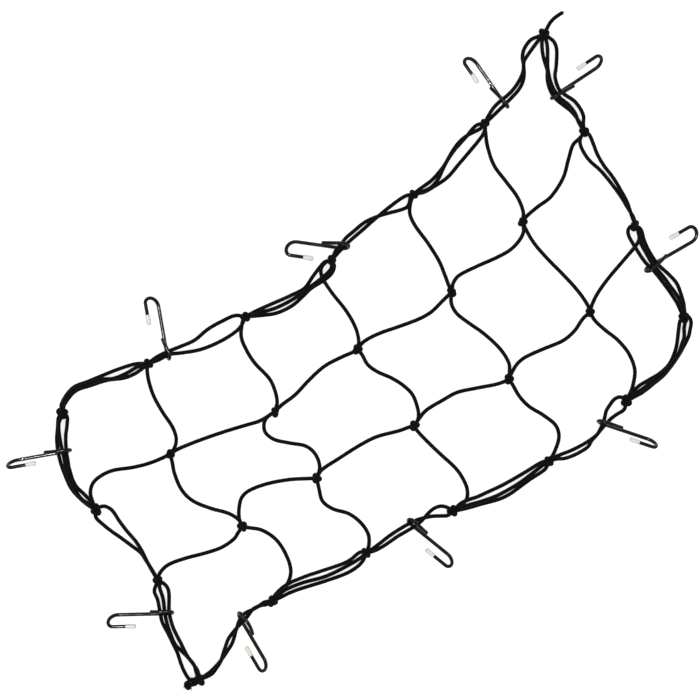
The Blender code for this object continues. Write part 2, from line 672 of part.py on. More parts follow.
def cap(name, tip, back):
    """A blind sleeve on the wire's tip. back is the way along the wire away from the tip."""
    profile = (
        (0.0, CAP_LENGTH),
        (0.6 * CAP_RADIUS, CAP_LENGTH),
        (CAP_RADIUS, CAP_LENGTH - 0.4 * CAP_RADIUS),
        (CAP_RADIUS, 0.0),
        (CAP_BORE_RADIUS, 0.0),
        (CAP_BORE_RADIUS, CAP_BORE_DEPTH),
        (0.0, CAP_BORE_DEPTH),
    )
    shape = bmesh.new()
    ring = [shape.verts.new((radius, 0, height)) for radius, height in profile]
    edges = [shape.edges.new(pair) for pair in zip(ring, ring[1:])]
    bmesh.ops.spin(
        shape,
        geom=ring + edges,
        axis=(0, 0, 1),
        cent=(0, 0, 0),
        steps=CAP_SIDES,
        angle=math.tau,
        use_merge=True,
    )
    bmesh.ops.remove_doubles(shape, verts=shape.verts, dist=1e-6)
    bmesh.ops.recalc_face_normals(shape, faces=shape.faces)
    mesh = bpy.data.meshes.new(name)
    shape.to_mesh(mesh)
    shape.free()
    sleeve = bpy.data.objects.new(name, mesh)
    mouth = Vector(tip) + Vector(back) * TIP_INSIDE
    turned = (-Vector(back)).to_track_quat("Z", "Y").to_matrix().to_4x4()
    sleeve.matrix_world = Matrix.Translation(mouth) @ turned
    return sleeve


def shade_round(obj):
    obj.data.shade_smooth()
    obj.data.set_sharp_from_angle(angle=math.radians(50))


def main():
    clear_scene()
    parts = new_collection(NAME)
    helpers = new_collection("net_pieces")
    helpers.hide_render = True
    cord = new_material("black_elastic_cord", (0.012, 0.012, 0.013), 0.75)
    wire = new_material("black_coated_wire", (0.010, 0.010, 0.011), 0.30)
    vinyl = new_material("clear_white_vinyl", (0.86, 0.86, 0.80), 0.40, alpha=0.8)

    laid = np.vstack([shank_samples(row) for row in HOOKS])
    inner, laid = lay_strands(INNER_STRANDS, laid)
    border, laid = lay_strands(BORDER_STRANDS, laid)
    pieces = [knot(name) for name in KNOTS]
    lines = [thinned(points) for _, _, points in inner + border]
    for i, line in enumerate(lines):
        pieces.append(tube(f"strand_{i}", line, CORD_RADIUS))
    net = joined("net", pieces, parts, helpers)
    net.data.materials.append(cord)
    shade_round(net)

    strands = np.vstack([filled(line) for line in lines])
    for number, row in enumerate(HOOKS, 1):
        height = eye_height(row, strands)
        points = hook_points(row, height, eye_start(row, height, strands))
        hook = tube(f"hook_{number}", points, WIRE_RADIUS)
        parts.objects.link(hook)
        hook.data.materials.append(wire)
        shade_round(hook)
        back = points[-2] - points[-1]
        sleeve = cap(f"cap_{number}", points[-1], back / np.linalg.norm(back))
        parts.objects.link(sleeve)
        sleeve.data.materials.append(vinyl)
        shade_round(sleeve)


main()
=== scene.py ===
"""Looks of an elastic cargo net with ten wire hooks, laid open on a flat surface.

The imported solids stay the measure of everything: the cord, the knots, the hooks and the caps
are laid along much the same routes, and each stands where its solid does.
"""

import functools
import math
from collections import namedtuple

import bmesh
import bpy
import numpy as np
from bpy.props import FloatProperty, FloatVectorProperty, IntProperty, PointerProperty
from mathutils import Matrix, Vector


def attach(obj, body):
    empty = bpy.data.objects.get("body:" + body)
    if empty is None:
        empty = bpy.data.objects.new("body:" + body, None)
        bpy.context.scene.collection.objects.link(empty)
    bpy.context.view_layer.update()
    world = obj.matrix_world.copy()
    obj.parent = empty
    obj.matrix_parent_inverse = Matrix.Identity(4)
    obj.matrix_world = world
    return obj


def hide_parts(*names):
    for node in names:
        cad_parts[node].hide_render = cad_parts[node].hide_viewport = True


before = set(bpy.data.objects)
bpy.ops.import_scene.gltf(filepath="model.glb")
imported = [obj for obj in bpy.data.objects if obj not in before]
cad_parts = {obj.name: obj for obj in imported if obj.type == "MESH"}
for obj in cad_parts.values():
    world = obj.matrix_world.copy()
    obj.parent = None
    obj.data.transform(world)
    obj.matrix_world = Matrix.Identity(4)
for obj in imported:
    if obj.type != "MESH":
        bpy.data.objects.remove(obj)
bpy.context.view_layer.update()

bl_info = {
    "name": "Cargo net",
    "version": (1, 0, 0),
    "blender": (4, 5, 0),
    "location": "3D View > Sidebar > Cargo net",
    "description": "Lays, knots and hooks an elastic cargo net",
    "category": "Object",
}

MM = 0.001

# Where the middle of the whole lies in the tables' own places, millimetres
MIDDLE = (-0.91, -2.56)

# Cord
STRAND_GAP = 0.0001  # between a strand and the one it lies on
SAMPLE_STEP = 0.0024  # between the points of a strand's route
BEND_RADIUS = 0.060  # of a strand that rises over another
CORD_ROUND = 4  # rings of faces between the quarters of a cord: twelve sides
MERGE_DISTANCE = 0.000005  # under which the corners of a piece are one

# Cut ends of the cord
BARE_CORE = {"T": 0.0004, "S": 0.0024}  # rubber that stands out of the sheath
CORE_HIDDEN = 0.0015  # rubber inside the sheath's end
CORE_SIDES = 16
CORE_STEPS = ((0.18, 0.14), (0.35, 0.05), (0.25, -0.08))  # width and rise, of its radius

# Knots: length and height, and how high the strands run inside
KnotSize = namedtuple("KnotSize", "length height middle")
KNOT_SIZES = {
    "inner": KnotSize(0.0125, 0.0090, 0.0040),
    "border": KnotSize(0.0155, 0.0110, 0.0048),
    "stopper": KnotSize(0.0095, 0.0080, 0.0038),
}
KNOT_STEPS = 54
KNOT_TURNS = ((60, 30), (300, 150), (180, 270))  # of a plain knot: where each peaks and its way
KNOT_LIFT = 0.0003  # of a knot's own middle above the strands inside
KNOT_RISE = 0.0021  # of a turn's middle line above and below the knot's own middle
INNER_TURNS = 0.6  # how far out the second cord in a knot of several strands turns, of the first
KNOT_FADE = (0.45, 1.15)  # where a strand starts to leave its knot and has left it, in knot lengths

# Hooks
WIRE_GAP = 0.0004  # to the strands in the eye
WIRE_ROUND = 6  # rings of faces between the quarters of a wire: sixteen sides
J_WIDTH = 0.0176
J_EASE = 0.45  # how much more gently the J bends off the shank than on to the tip
TIP_INSIDE = 0.0080  # wire inside the cap
LEG_END_RISE = 0.0044  # of the short leg's end above the shank
EYE_LEVEL_LENGTH = 0.0175
EYE_LEAST_HEIGHT = 0.0090
ARC_STEPS = 21
LEG_POINTS = 6
LEG_STEP = 0.0015
SHANK_STEP = 0.0040
CUT_BEVEL = 0.16  # how long the bevel round a cut is, of the wire's radius
CUT_FACE = 0.84  # radius of the cut's face, of the wire's

# Caps
CAP_LENGTH = 0.0130
CAP_BORE_DEPTH = 0.0090
CAP_TAPER = 0.88  # its mouth's radius, of its end's
CAP_LIP = 0.0003  # bevel round the mouth
CAP_ROUNDING = 0.85  # of the closed end, of its radius
CAP_SIDES = 28
FACING = 0.9  # least part of a face's normal that counts as facing one way

# Stage
CAMERA_OVER = (-12.0, 43.0)  # place in the tables that the camera stands over
CAMERA_TURN = -34.0
SENSOR_WIDTH = 36.0
KEY_TILT = (-3.2, -6.8)  # of the lamp's way down, about X and Y in degrees
KEY_HEIGHT = 3.0
FLOOR_SIZE = 30.0
FLOOR_DROP = 0.0001  # of the floor under the net, so that no faces coincide

# Range that a noise texture mostly keeps to
NOISE_RANGE = (0.3, 0.7)

# Knots: place in millimetres; the three outer turns of its cord, each the way it points in
# degrees from +X and how far it reaches in millimetres; and the size. A row of knots is named
# by its letter, from A far away to D near by.
Knot = namedtuple("Knot", "x y lobe_1 lobe_2 lobe_3 size")
KNOTS = {
    "L": Knot(-348, 176, (0, 7.0), (120, 9.1), (240, 7.8), "border"),
    "A1": Knot(-227, 168, (86, 6.9), (200, 6.2), (293, 7.2), "border"),
    "A2": Knot(-96, 149, (47, 6.5), (159, 6.5), (282, 7.3), "inner"),
    "A3": Knot(31, 147, (75, 7.1), (200, 6.3), (333, 5.9), "border"),
    "A4": Knot(160, 158, (90, 6.6), (183, 5.9), (283, 6.6), "inner"),
    "A5": Knot(281, 181, (88, 6.7), (202, 6.1), (332, 6.3), "border"),
    "T": Knot(403, 232, (-12, 7.4), (96, 8.0), (225, 7.4), "border"),
    "B0": Knot(-381, 55, (52, 8.3), (180, 7.2), (280, 8.7), "border"),
    "B1": Knot(-267, 61, (63, 6.1), (198, 6.6), (299, 6.8), "inner"),
    "B2": Knot(-131, 32, (-20, 5.7), (95, 5.7), (245, 7.9), "inner"),
    "B3": Knot(-4, 39, (84, 6.4), (208, 7.6), (322, 7.1), "inner"),
    "B4": Knot(132, 32, (0, 5.3), (117, 7.2), (262, 7.0), "inner"),
    "B5": Knot(252, 55, (78, 6.0), (190, 6.8), (325, 6.8), "inner"),
    "B6": Knot(377, 104, (8, 6.8), (121, 7.5), (253, 6.6), "inner"),
    "C0": Knot(-366, -60, (20, 6.4), (140, 7.2), (262, 7.4), "border"),
    "C1": Knot(-243, -63, (22, 7.0), (133, 7.2), (262, 7.1), "inner"),
    "C2": Knot(-134, -65, (88, 7.4), (200, 7.1), (312, 6.7), "inner"),
    "C3": Knot(2, -78, (98, 6.8), (213, 7.9), (328, 7.0), "inner"),
    "C4": Knot(130, -96, (90, 7.1), (212, 7.1), (333, 6.8), "inner"),
    "C5": Knot(259, -84, (-12, 6.2), (115, 6.8), (228, 6.2), "inner"),
    "C6": Knot(364, -26, (18, 7.2), (130, 5.7), (217, 7.8), "border"),
    "B": Knot(-392, -189, (35, 6.6), (138, 6.6), (270, 9.4), "border"),
    "D1": Knot(-264, -159, (67, 7.1), (216, 8.1), (304, 7.9), "border"),
    "D2": Knot(-135, -175, (5, 5.6), (104, 7.5), (267, 7.0), "inner"),
    "D3": Knot(-18, -192, (48, 8.0), (147, 7.8), (268, 7.5), "border"),
    "D4": Knot(115, -207, (3, 7.4), (107, 7.1), (266, 7.2), "border"),
    "D5": Knot(234, -199, (60, 8.8), (187, 7.2), (299, 8.2), "border"),
    "R": Knot(351, -154, (12, 7.4), (122, 8.0), (240, 7.6), "border"),
    "S": Knot(-407.6, -187.6, (-20, 4.9), (107, 6.1), (222, 6.1), "stopper"),
}

# Single strands inside the net: the knots at the two ends and the way between them, millimetres
INNER_STRANDS = (
    # row B
    ("B0", "B1", (
        (-379, 64), (-375, 76), (-366, 84), (-352, 86), (-336, 83), (-315, 73), (-296, 66),
        (-278, 62),
    )),
    ("B1", "B2", ((-254, 60), (-226, 54), (-196, 46), (-170, 38), (-154, 33), (-142, 32))),
    ("B2", "B3", ((-118, 34), (-99, 35), (-72, 41), (-48, 44), (-22, 41), (-12, 39))),
    ("B3", "B4", ((8, 42), (28, 40), (55, 33), (81, 27), (98, 26), (119, 30))),
    ("B4", "B5", ((139, 40), (150, 44), (175, 41), (204, 36), (222, 35), (238, 39), (247, 45))),
    ("B5", "B6", ((261, 58), (279, 60), (298, 61), (324, 72), (343, 88), (357, 99), (368, 101))),
    # row C
    ("C0", "C1", (
        (-360, -54), (-346, -51), (-324, -56), (-298, -65), (-279, -70), (-261, -70), (-251, -66),
    )),
    ("C1", "C2", (
        (-241, -53), (-234, -42), (-224, -33), (-212, -31), (-190, -36), (-164, -47), (-142, -60),
    )),
    ("C2", "C3", ((-124, -60), (-100, -60), (-66, -61), (-44, -64), (-18, -73), (-6, -76))),
    ("C3", "C4", ((10, -75), (24, -71), (48, -72), (68, -74), (91, -83), (112, -92), (122, -95))),
    ("C4", "C5", (
        (138, -91), (150, -86), (162, -85), (186, -89), (212, -94), (230, -92), (248, -85),
    )),
    ("C5", "C6", (
        (265, -78), (281, -69), (303, -61), (328, -54), (349, -48), (358, -44), (363, -36),
    )),
    # columns 1 to 5, from row A to row D
    ("A1", "B1", (
        (-231.3, 163.9), (-235, 157.7), (-239.3, 148.2), (-244, 131), (-246, 108), (-246, 88),
        (-249, 74), (-254, 67), (-260, 63),
    )),
    ("B1", "C1", (
        (-270, 52), (-276, 38), (-280, 16), (-276, -3), (-262, -24), (-248, -40), (-242, -53),
    )),
    ("C1", "D1", (
        (-238, -68), (-226, -80), (-218, -99), (-218, -121), (-224, -141), (-236, -152),
        (-250, -156),
    )),
    ("A2", "B2", (
        (-102, 146), (-114, 131), (-118, 111), (-118, 94), (-114, 70), (-116, 55), (-122, 40),
    )),
    ("B2", "C2", (
        (-144, 31), (-151, 26), (-155, 17), (-151, 4), (-138, -10), (-123, -25), (-119, -40),
        (-123, -55),
    )),
    ("C2", "D2", (
        (-139, -77), (-144, -92), (-139, -107), (-126, -123), (-120, -140), (-120, -157),
        (-127, -169),
    )),
    ("A3", "B3", ((25, 149), (16, 147), (11, 141), (9, 131), (9, 113), (11, 85), (9, 62), (3, 46))),
    ("B3", "C3", (
        (-3, 30), (-4, 16), (1, 2), (11, -14), (18, -30), (21, -46), (16, -65), (10, -74),
    )),
    ("C3", "D3", ((1, -85), (4, -104), (9, -127), (14, -148), (15, -161), (12, -179), (3, -190))),
    ("A4", "B4", (
        (150.2, 150.6), (142.6, 140.3), (140, 125), (141, 99), (140, 72), (136, 53), (133, 41),
    )),
    ("B4", "C4", (
        (128, 28), (123, 20), (122, 7), (127, -9), (136, -33), (142, -60), (141, -79), (136, -88),
    )),
    ("C4", "D4", (
        (130, -103), (129, -122), (132, -138), (141, -158), (146, -176), (141, -190), (127, -201),
    )),
    ("A5", "B5", ((276, 172), (268, 155), (262, 132), (263, 108), (264, 84), (259, 64))),
    ("B5", "C5", ((250, 45), (249, 28), (252, 2), (257, -25), (261, -52), (261, -74))),
    ("C5", "D5", (
        (258, -95), (262, -112), (268, -131), (270, -152), (265, -173), (252, -188), (243, -194),
    )),
)

BORDER_STRANDS = (
    # far side
    ("L", "A1", (
        (-341, 183.5), (-321, 190), (-300, 185), (-280, 179), (-261.4, 169.8), (-247.4, 166.8),
        (-235, 167),
    )),
    ("L", "A1", (
        (-343, 186), (-321, 195), (-300, 191), (-285, 188), (-264.3, 183.6), (-241.2, 176.7),
    )),
    ("L", "A1", (
        (-342, 184.7), (-321, 193), (-300, 188), (-284, 183), (-272.4, 176.4), (-255.7, 173),
        (-240, 171.7),
    )),
    ("A1", "A2", (
        (-214, 164.4), (-199, 162.5), (-186, 156), (-166, 147), (-145, 142), (-122, 140),
        (-107, 142),
    )),
    ("A1", "A2", (
        (-214, 168.6), (-199, 166.5), (-182, 163), (-164, 160), (-142, 162), (-119, 160),
        (-105, 157),
    )),
    ("A2", "A3", (
        (-78, 139), (-61, 131), (-40, 128), (-24, 130), (-10, 132.5), (8, 131.9), (19.2, 132.8),
        (23.4, 134.2), (27.7, 137.1), (30.2, 140.2),
    )),
    ("A2", "A3", ((-78, 143), (-59, 137), (-36, 134), (-20, 134), (0, 135), (13, 136), (25, 139))),
    ("A2", "A3", ((-80, 147), (-56, 143), (-34, 139), (-16, 137), (0, 143), (14, 148), (23, 150))),
    ("A3", "A4", ((42, 150), (52, 152), (61, 154), (85, 157), (108, 160), (131, 162), (150, 162))),
    ("A3", "A4", (
        (42, 154), (52, 157), (61, 160), (68, 161), (91, 163), (110, 159.5), (124.2, 155),
        (137, 150.6), (144.4, 149.4), (149.5, 152), (154, 156.5),
    )),
    ("A4", "A5", (
        (172, 153), (184, 152), (206, 152), (228, 158), (246, 163), (269, 170), (277, 175),
    )),
    ("A4", "A5", (
        (168, 159), (188, 160), (207, 165), (229, 174), (243, 178), (255, 181), (264, 184),
        (273, 185),
    )),
    ("A4", "A5", (
        (168, 155), (182, 153), (194.8, 156.4), (208.2, 164.2), (220, 170.8), (231, 176),
        (243, 180), (255, 181), (273, 179),
    )),
    ("A5", "T", (
        (299, 184), (316, 187), (326, 189), (338, 192), (348, 197), (355, 204), (361, 214),
        (366, 224), (374, 231), (386, 235), (396, 233),
    )),
    ("A5", "T", (
        (289, 186), (304, 192), (328, 195), (343, 200), (356, 208), (363, 217), (371, 221),
        (390, 228),
    )),
    ("T", None, ((411, 236), (417, 239), (425, 241), (440, 241))),
    # right side
    ("T", "B6", (
        (396, 226), (391, 219), (386, 208), (381.7, 192.5), (377.9, 187), (374.8, 182),
        (372.2, 176.3), (370.4, 170), (369.6, 163.3), (370.6, 155), (373.8, 145.5), (377.4, 136),
        (379, 120),
    )),
    ("T", "B6", (
        (406, 224), (408, 217), (406, 208), (394, 191), (386, 182), (383, 176.4), (381, 170.4),
        (380, 164), (382, 156), (388.6, 140), (387, 122), (381, 113),
    )),
    ("T", "B6", (
        (401, 224), (396, 214), (384.5, 197), (379.4, 186.5), (376.9, 180.4), (375.2, 173.9),
        (374.2, 166.8), (374.4, 157.5), (376.7, 149.5), (379.2, 142), (380, 130), (377, 118),
    )),
    ("B6", "C6", (
        (369, 101), (364, 95), (362, 84), (363, 70), (367, 54), (369, 36), (370, 14), (369, -5),
        (368, -18),
    )),
    ("B6", "C6", (
        (380, 99), (379, 90), (375, 72), (374, 56), (375, 40), (374, 22), (372, 4), (368, -10),
    )),
    ("C6", "R", (
        (358, -24), (353, -27), (350, -35), (349, -52), (349, -70), (351, -81), (353, -96),
        (354, -110), (354, -133), (352, -144),
    )),
    ("C6", "R", (
        (367, -34), (363, -47), (361, -60), (360, -75), (361, -84), (366, -103), (367, -116),
        (361, -136), (356, -146),
    )),
    ("C6", "R", (
        (363.5, -32), (359, -43), (357.3, -49), (356.6, -57), (355.8, -66), (355, -75), (356, -86),
        (358, -105), (358, -130), (355, -144),
    )),
    # near side
    ("R", "D5", (
        (345, -154), (339, -160), (329, -172), (320, -181), (304, -191), (287, -194), (272, -193),
        (258, -192), (246, -194),
    )),
    ("R", "D5", (
        (356, -156), (355, -163), (350, -169), (343, -176), (329, -184), (318, -189), (302, -195),
        (287, -199), (258, -201), (246, -200),
    )),
    ("R", "D5", (
        (348, -160), (344, -164), (338, -173), (330, -179), (320, -186), (304, -193), (287, -196),
        (258, -197), (246, -197),
    )),
    ("D5", "D4", (
        (227, -206), (213, -206), (202, -207), (191, -210), (181, -213), (168, -214), (147, -212),
        (125, -207),
    )),
    ("D5", "D4", (
        (233, -193), (230, -190), (224, -189), (214, -192), (207, -195), (199, -202), (183, -212),
        (172, -215), (164, -219), (150, -219), (133, -215), (124, -210),
    )),
    ("D4", "D3", (
        (109, -211), (103, -213), (80, -213), (53, -214), (38, -212), (20, -206), (0, -199),
    )),
    ("D4", "D3", ((106, -207), (93, -208), (67, -209), (40, -207), (20, -202), (-1, -195))),
    ("D4", "D3", (
        (106, -203), (80, -202), (53, -200), (39, -198), (17, -194), (7, -191), (-4, -189),
    )),
    ("D3", "D2", (
        (-26, -193), (-33, -189), (-43, -183), (-52, -179), (-61, -176), (-76, -174),
        (-96.4, -173.6), (-116.4, -174.7), (-126, -175),
    )),
    ("D3", "D2", (
        (-22, -183), (-28, -178), (-36, -176), (-45, -177), (-56, -180), (-66, -181), (-89, -180),
        (-112.7, -179.6), (-126, -178),
    )),
    ("D2", "D1", (
        (-142, -180), (-152, -183), (-168.4, -182.6), (-196.4, -175.7), (-220.3, -168.5),
        (-240, -163), (-254, -161),
    )),
    ("D2", "D1", (
        (-143, -176), (-167, -175), (-193, -171), (-220, -162), (-240, -157), (-254, -157),
    )),
    ("D2", "D1", (
        (-141, -170), (-156, -171), (-170, -169), (-196, -162), (-225, -154), (-240, -152),
        (-254, -154),
    )),
    ("D1", "B", (
        (-272, -159), (-279, -156), (-288, -155), (-300, -153), (-308, -155), (-318, -162),
        (-333.5, -174.8), (-343, -179.2), (-358, -185), (-376, -189),
    )),
    ("D1", "B", (
        (-272, -155), (-280, -155), (-288, -154), (-300, -158), (-308, -160), (-318, -162),
        (-333.5, -167.2), (-343, -173.8), (-351, -180), (-357, -185), (-366, -189), (-376, -192),
    )),
    # left side
    ("B", "C0", (
        (-388, -180), (-388, -170), (-389, -158), (-391, -148), (-393, -137), (-389.7, -120.2),
        (-384, -103.7), (-380, -95), (-374, -83), (-370, -70),
    )),
    ("B", "C0", (
        (-397, -191), (-400.3, -187), (-402.6, -180), (-402.3, -170), (-400, -160), (-396, -147),
        (-394, -134), (-392, -121), (-390, -104.7), (-385.7, -93.9), (-380, -79.7), (-377, -68),
    )),
    ("B", "C0", (
        (-390, -180), (-387, -170), (-388, -158), (-386, -140), (-384.4, -124.4), (-380.6, -110.3),
        (-375.5, -98.3), (-367.5, -86.3), (-362, -76), (-362, -68),
    )),
    ("C0", "B0", (
        (-365, -45), (-365, -33), (-365, -20), (-369, -8), (-375, 9), (-381, 25), (-385, 39),
        (-386, 48),
    )),
    ("C0", "B0", (
        (-365, -45), (-364, -33), (-362, -18), (-362, -5), (-364, 10), (-365, 27), (-365, 43),
        (-369, 52), (-375, 55),
    )),
    ("B0", "L", (
        (-385, 63), (-389.8, 78), (-391.6, 95), (-388, 115), (-385, 125), (-380, 138), (-372, 154),
        (-362, 167), (-355, 175),
    )),
    ("B0", "L", (
        (-379.6, 66), (-381.6, 78), (-385, 95), (-380, 115), (-375, 125), (-371, 134), (-360, 152),
        (-350.5, 163), (-346, 170),
    )),
    ("B0", "L", (
        (-384, 66.5), (-387.6, 77), (-387.6, 95), (-384, 115), (-379, 125), (-375, 135),
        (-367, 155), (-359, 168), (-352, 173),
    )),
    # stopper knot at the near left corner, with two cut ends
    ("B", "S", ((-399, -191),)),
    ("B", "S", ((-402, -183),)),
    ("S", None, ((-410.2, -187.2), (-415, -186.8))),
    ("S", None, ((-408, -190.5), (-408, -195.3))),
)

# Hooks, numbered clockwise from the far side. In millimetres and degrees: the eye's end, the way
# from the eye to the J bend, the side of the bend (1 is left of that way), how far the bend is
# turned up from the surface, how far the short leg lies to the left at the eye and at its end, the
# short leg's length, the whole length from the eye's end to the J bend's end, and how far back from
# there the cap starts; lengths are along the middle of the wire
Hook = namedtuple(
    "Hook", "x y heading side turned_up eye_left leg_left leg_length length cap_back"
)
HOOKS = (
    Hook(315.3, 182.0, 90.8, 1, 39.5, -0.5, 3.5, 32.0, 77.7, 20.2),
    Hook(366.0, 161.7, -0.5, 1, 49.5, -1.8, -3.2, 31.5, 78.0, 20.4),
    Hook(343.8, -77.3, -4.0, 1, 5.5, -4.7, 1.5, 32.0, 79.0, 20.6),
    Hook(190.7, -200.7, -52.5, -1, 65, 3.0, 3.0, 31.0, 77.0, 21.9),
    Hook(-71.6, -170.9, -73.0, -1, 47.5, 5.8, 4.2, 28.0, 75.5, 24.3),
    Hook(-308.2, -148.3, -93.5, -1, 54, 5.5, 3.6, 31.5, 76.2, 24.0),
    Hook(-374.0, -104.0, 147.3, 1, 41, -3.6, -3.2, 27.0, 79.3, 22.0),
    Hook(-365.7, 132.4, 156.1, 1, 65.5, -1.7, -3.5, 32.0, 78.7, 23.1),
    Hook(-204.2, 158.9, 66.0, 1, 34.5, -4.0, 2.0, 25.5, 77.8, 20.2),
    Hook(55.7, 147.1, 138.0, 1, 5.5, -6.0, -3.1, 33.0, 75.6, 22.2),
)

# How far a short leg bows out to the left between its ends, by hook, millimetres
LEG_BOWS = {6: 1.9}


# ---------------- sizes and colours


def size_property(name, description, default):
    return FloatProperty(
        name=name, description=description, default=default, unit="LENGTH", precision=5
    )


def colour_property(name, description, default):
    return FloatVectorProperty(
        name=name, description=description, default=default, subtype="COLOR"
    )


class CordSettings(bpy.types.PropertyGroup):
    radius: size_property("Cord radius", "Half the thickness of the elastic cord", 0.00243)
    turn_radius: size_property(
        "Radius in knots", "Half the thickness of the cord pulled tight in a knot", 0.0021
    )
    core_radius: size_property(
        "Core radius", "Half the thickness of the rubber inside the sheath", 0.0016
    )
    yarns: IntProperty(
        name="Yarns around",
        description="Yarns of each hand around the braided sheath",
        default=12,
    )
    yarn_pitch: size_property(
        "Yarn pitch", "Length of sheath that one yarn covers along the cord", 0.00125
    )
    # Painted shade: the sheath's colour runs from this crown colour on the yarns' tops to the
    # darker groove colour in the grooves, shade painted by the yarns' height
    colour: colour_property(
        "Sheath colour", "Colour of the yarns' crowns", (0.0022, 0.0020, 0.0014)
    )
    groove_shade_colour: colour_property(
        "Groove colour", "Colour between the yarns", (0.0012, 0.0011, 0.0010)
    )
    core_colour: colour_property("Core colour", "Colour of the rubber core", (0.68, 0.66, 0.58))


class HookSettings(bpy.types.PropertyGroup):
    radius: size_property("Wire radius", "Half the thickness of the coated wire", 0.00232)
    colour: colour_property(
        "Coat colour", "Colour of the coat on the wire", (0.0006, 0.0006, 0.0006)
    )
    roughness: FloatProperty(
        name="Coat roughness", description="Mean roughness of the coat", default=0.10
    )


class CapSettings(bpy.types.PropertyGroup):
    radius: size_property("Cap radius", "Half the thickness of the soft end cap", 0.0034)
    bore_radius: size_property(
        "Bore radius", "Half the width of the hole that takes the wire", 0.0021
    )
    colour: colour_property("Cap colour", "Colour of the milky vinyl", (0.475, 0.485, 0.433))


class StageSettings(bpy.types.PropertyGroup):
    floor_colour: colour_property("Floor colour", "Colour of the plain floor", (0.85, 0.85, 0.85))
    key_strength: FloatProperty(
        name="Key strength",
        description="Strength of the small lamp that draws highlights",
        default=2.4,
    )
    key_spread: FloatProperty(
        name="Key spread",
        description="How wide the small lamp looks from the floor",
        default=math.radians(1.6),
        subtype="ANGLE",
    )
    sky_strength: FloatProperty(
        name="Sky strength",
        description="Strength of the even light from all round",
        default=0.92,
    )
    camera_height: size_property("Camera height", "How far the camera stands above the floor", 3.0)
    seen_width: size_property("Seen width", "Width of floor that fills the picture", 0.8621)


# ---------------- routes


def place(x, y):
    """A place in the tables, in metres from the middle of the whole."""
    return np.array([(x - MIDDLE[0]) * MM, (y - MIDDLE[1]) * MM])


def smooth_route(points, step=SAMPLE_STEP):
    """Points about a step apart on a smooth curve through the given ones."""
    points = [np.array(p, float) for p in points]
    padded = [2 * points[0] - points[1], *points, 2 * points[-1] - points[-2]]
    route = []
    for before, start, end, after in zip(padded, padded[1:], padded[2:], padded[3:]):
        chord = np.linalg.norm(end - start)
        leave = (end - before) * chord / (np.linalg.norm(start - before) + chord)
        arrive = (after - start) * chord / (np.linalg.norm(after - end) + chord)
        steps = max(2, round(chord / step))
        for i in range(steps):
            t = i / steps
            route.append(
                (2 * t**3 - 3 * t**2 + 1) * start
                + (t**3 - 2 * t**2 + t) * leave
                + (3 * t**2 - 2 * t**3) * end
                + (t**3 - t**2) * arrive
            )
    route.append(points[-1])
    return np.array(route)


def strand_route(start, end, way):
    """The middle line of one strand in plan, from knot to knot or to its free end."""
    points = [knot_place(start), *(place(*p) for p in way)]
    if end is not None:
        points.append(knot_place(end))
    return smooth_route(points)


def knot_place(name):
    return place(KNOTS[name].x, KNOTS[name].y)


def knot_size(name):
    return KNOT_SIZES[KNOTS[name].size]


def clearance(route, name):
    """How far each point of a route is from the middle of a knot, in that knot's lengths."""
    return np.linalg.norm(route - knot_place(name), axis=1) / knot_size(name).length


def lengths_along(points):
    """How far each point lies along its line."""
    return np.concatenate([[0], np.cumsum(np.linalg.norm(np.diff(points, axis=0), axis=1))])


def resting_heights(route, laid, radius):
    """Heights that clear everything laid before, each a point with its own reach."""
    offsets = route[:, None, :] - laid[None, :, :2]
    across = (offsets**2).sum(axis=2)
    reach = laid[None, :, 3] ** 2
    rise = np.sqrt(np.clip(reach - across, 0, None))
    over = np.where(across < reach, laid[None, :, 2] + rise, 0)
    return np.maximum(radius, over.max(axis=1))


def eased(route, heights, radius):
    """The same heights with each rise spread along the strand, as a springy cord does."""
    along = lengths_along(route)
    drop = (along[:, None] - along[None, :]) ** 2 / (2 * BEND_RADIUS)
    return (heights[None, :] - drop).max(axis=1).clip(radius)


def tucked(heights, away, name, radius):
    """The same heights, kept between the middle and the top of a knot where they reach it."""
    share = np.clip((away - KNOT_FADE[0]) / (KNOT_FADE[1] - KNOT_FADE[0]), 0, 1)
    size = knot_size(name)
    inside = heights.clip(size.middle, size.height - radius)
    return inside + (heights - inside) * share * share * (3 - 2 * share)


def lay_strands(strands, laid, radius):
    """(start, end, points in space) of each strand, laid one after another over what is laid."""
    routes = []
    reach = 2 * radius + STRAND_GAP
    for start, end, way in strands:
        route = strand_route(start, end, way)
        ends = [(name, clearance(route, name)) for name in (start, end) if name is not None]
        clear = np.all([away > KNOT_FADE[0] for _, away in ends], axis=0)
        held = np.full(len(route), radius)
        for name, away in ends:
            held[away <= KNOT_FADE[0]] = knot_size(name).middle
        heights = np.where(clear, resting_heights(route, laid, radius), held)
        heights = eased(route, heights, radius)
        for name, away in ends:
            heights = tucked(heights, away, name, radius)
        points = np.column_stack([route, heights])
        reaches = np.full(len(points), reach)
        laid = np.vstack([laid, np.column_stack([points, reaches])[clear]])
        routes.append((start, end, points))
    return routes, laid


def hook_frame(hook):
    """The eye's end and the ways along the shank and to its left, all in plan."""
    heading = math.radians(hook.heading)
    along = np.array([math.cos(heading), math.sin(heading)])
    left = np.array([-along[1], along[0]])
    return place(hook.x, hook.y), along, left


def shank_samples(hook, cord_radius, wire_radius):
    """The shank as laid points, which strands pass over."""
    eye, along, _ = hook_frame(hook)
    lengths = np.arange(EYE_LEAST_HEIGHT / 2, hook.length * MM - J_WIDTH / 2, SAMPLE_STEP)
    plan = eye + lengths[:, None] * along
    reach = wire_radius + cord_radius + WIRE_GAP
    return np.column_stack([plan, np.full(len(plan), wire_radius), np.full(len(plan), reach)])


@functools.cache
def laid_net(cord_radius, wire_radius):
    """The strands inside the net, those of its border, and every point of both."""
    laid = np.vstack([shank_samples(hook, cord_radius, wire_radius) for hook in HOOKS])
    shanks = len(laid)
    inner, laid = lay_strands(INNER_STRANDS, laid, cord_radius)
    border, laid = lay_strands(BORDER_STRANDS, laid, cord_radius)
    return inner, border, laid[shanks:]


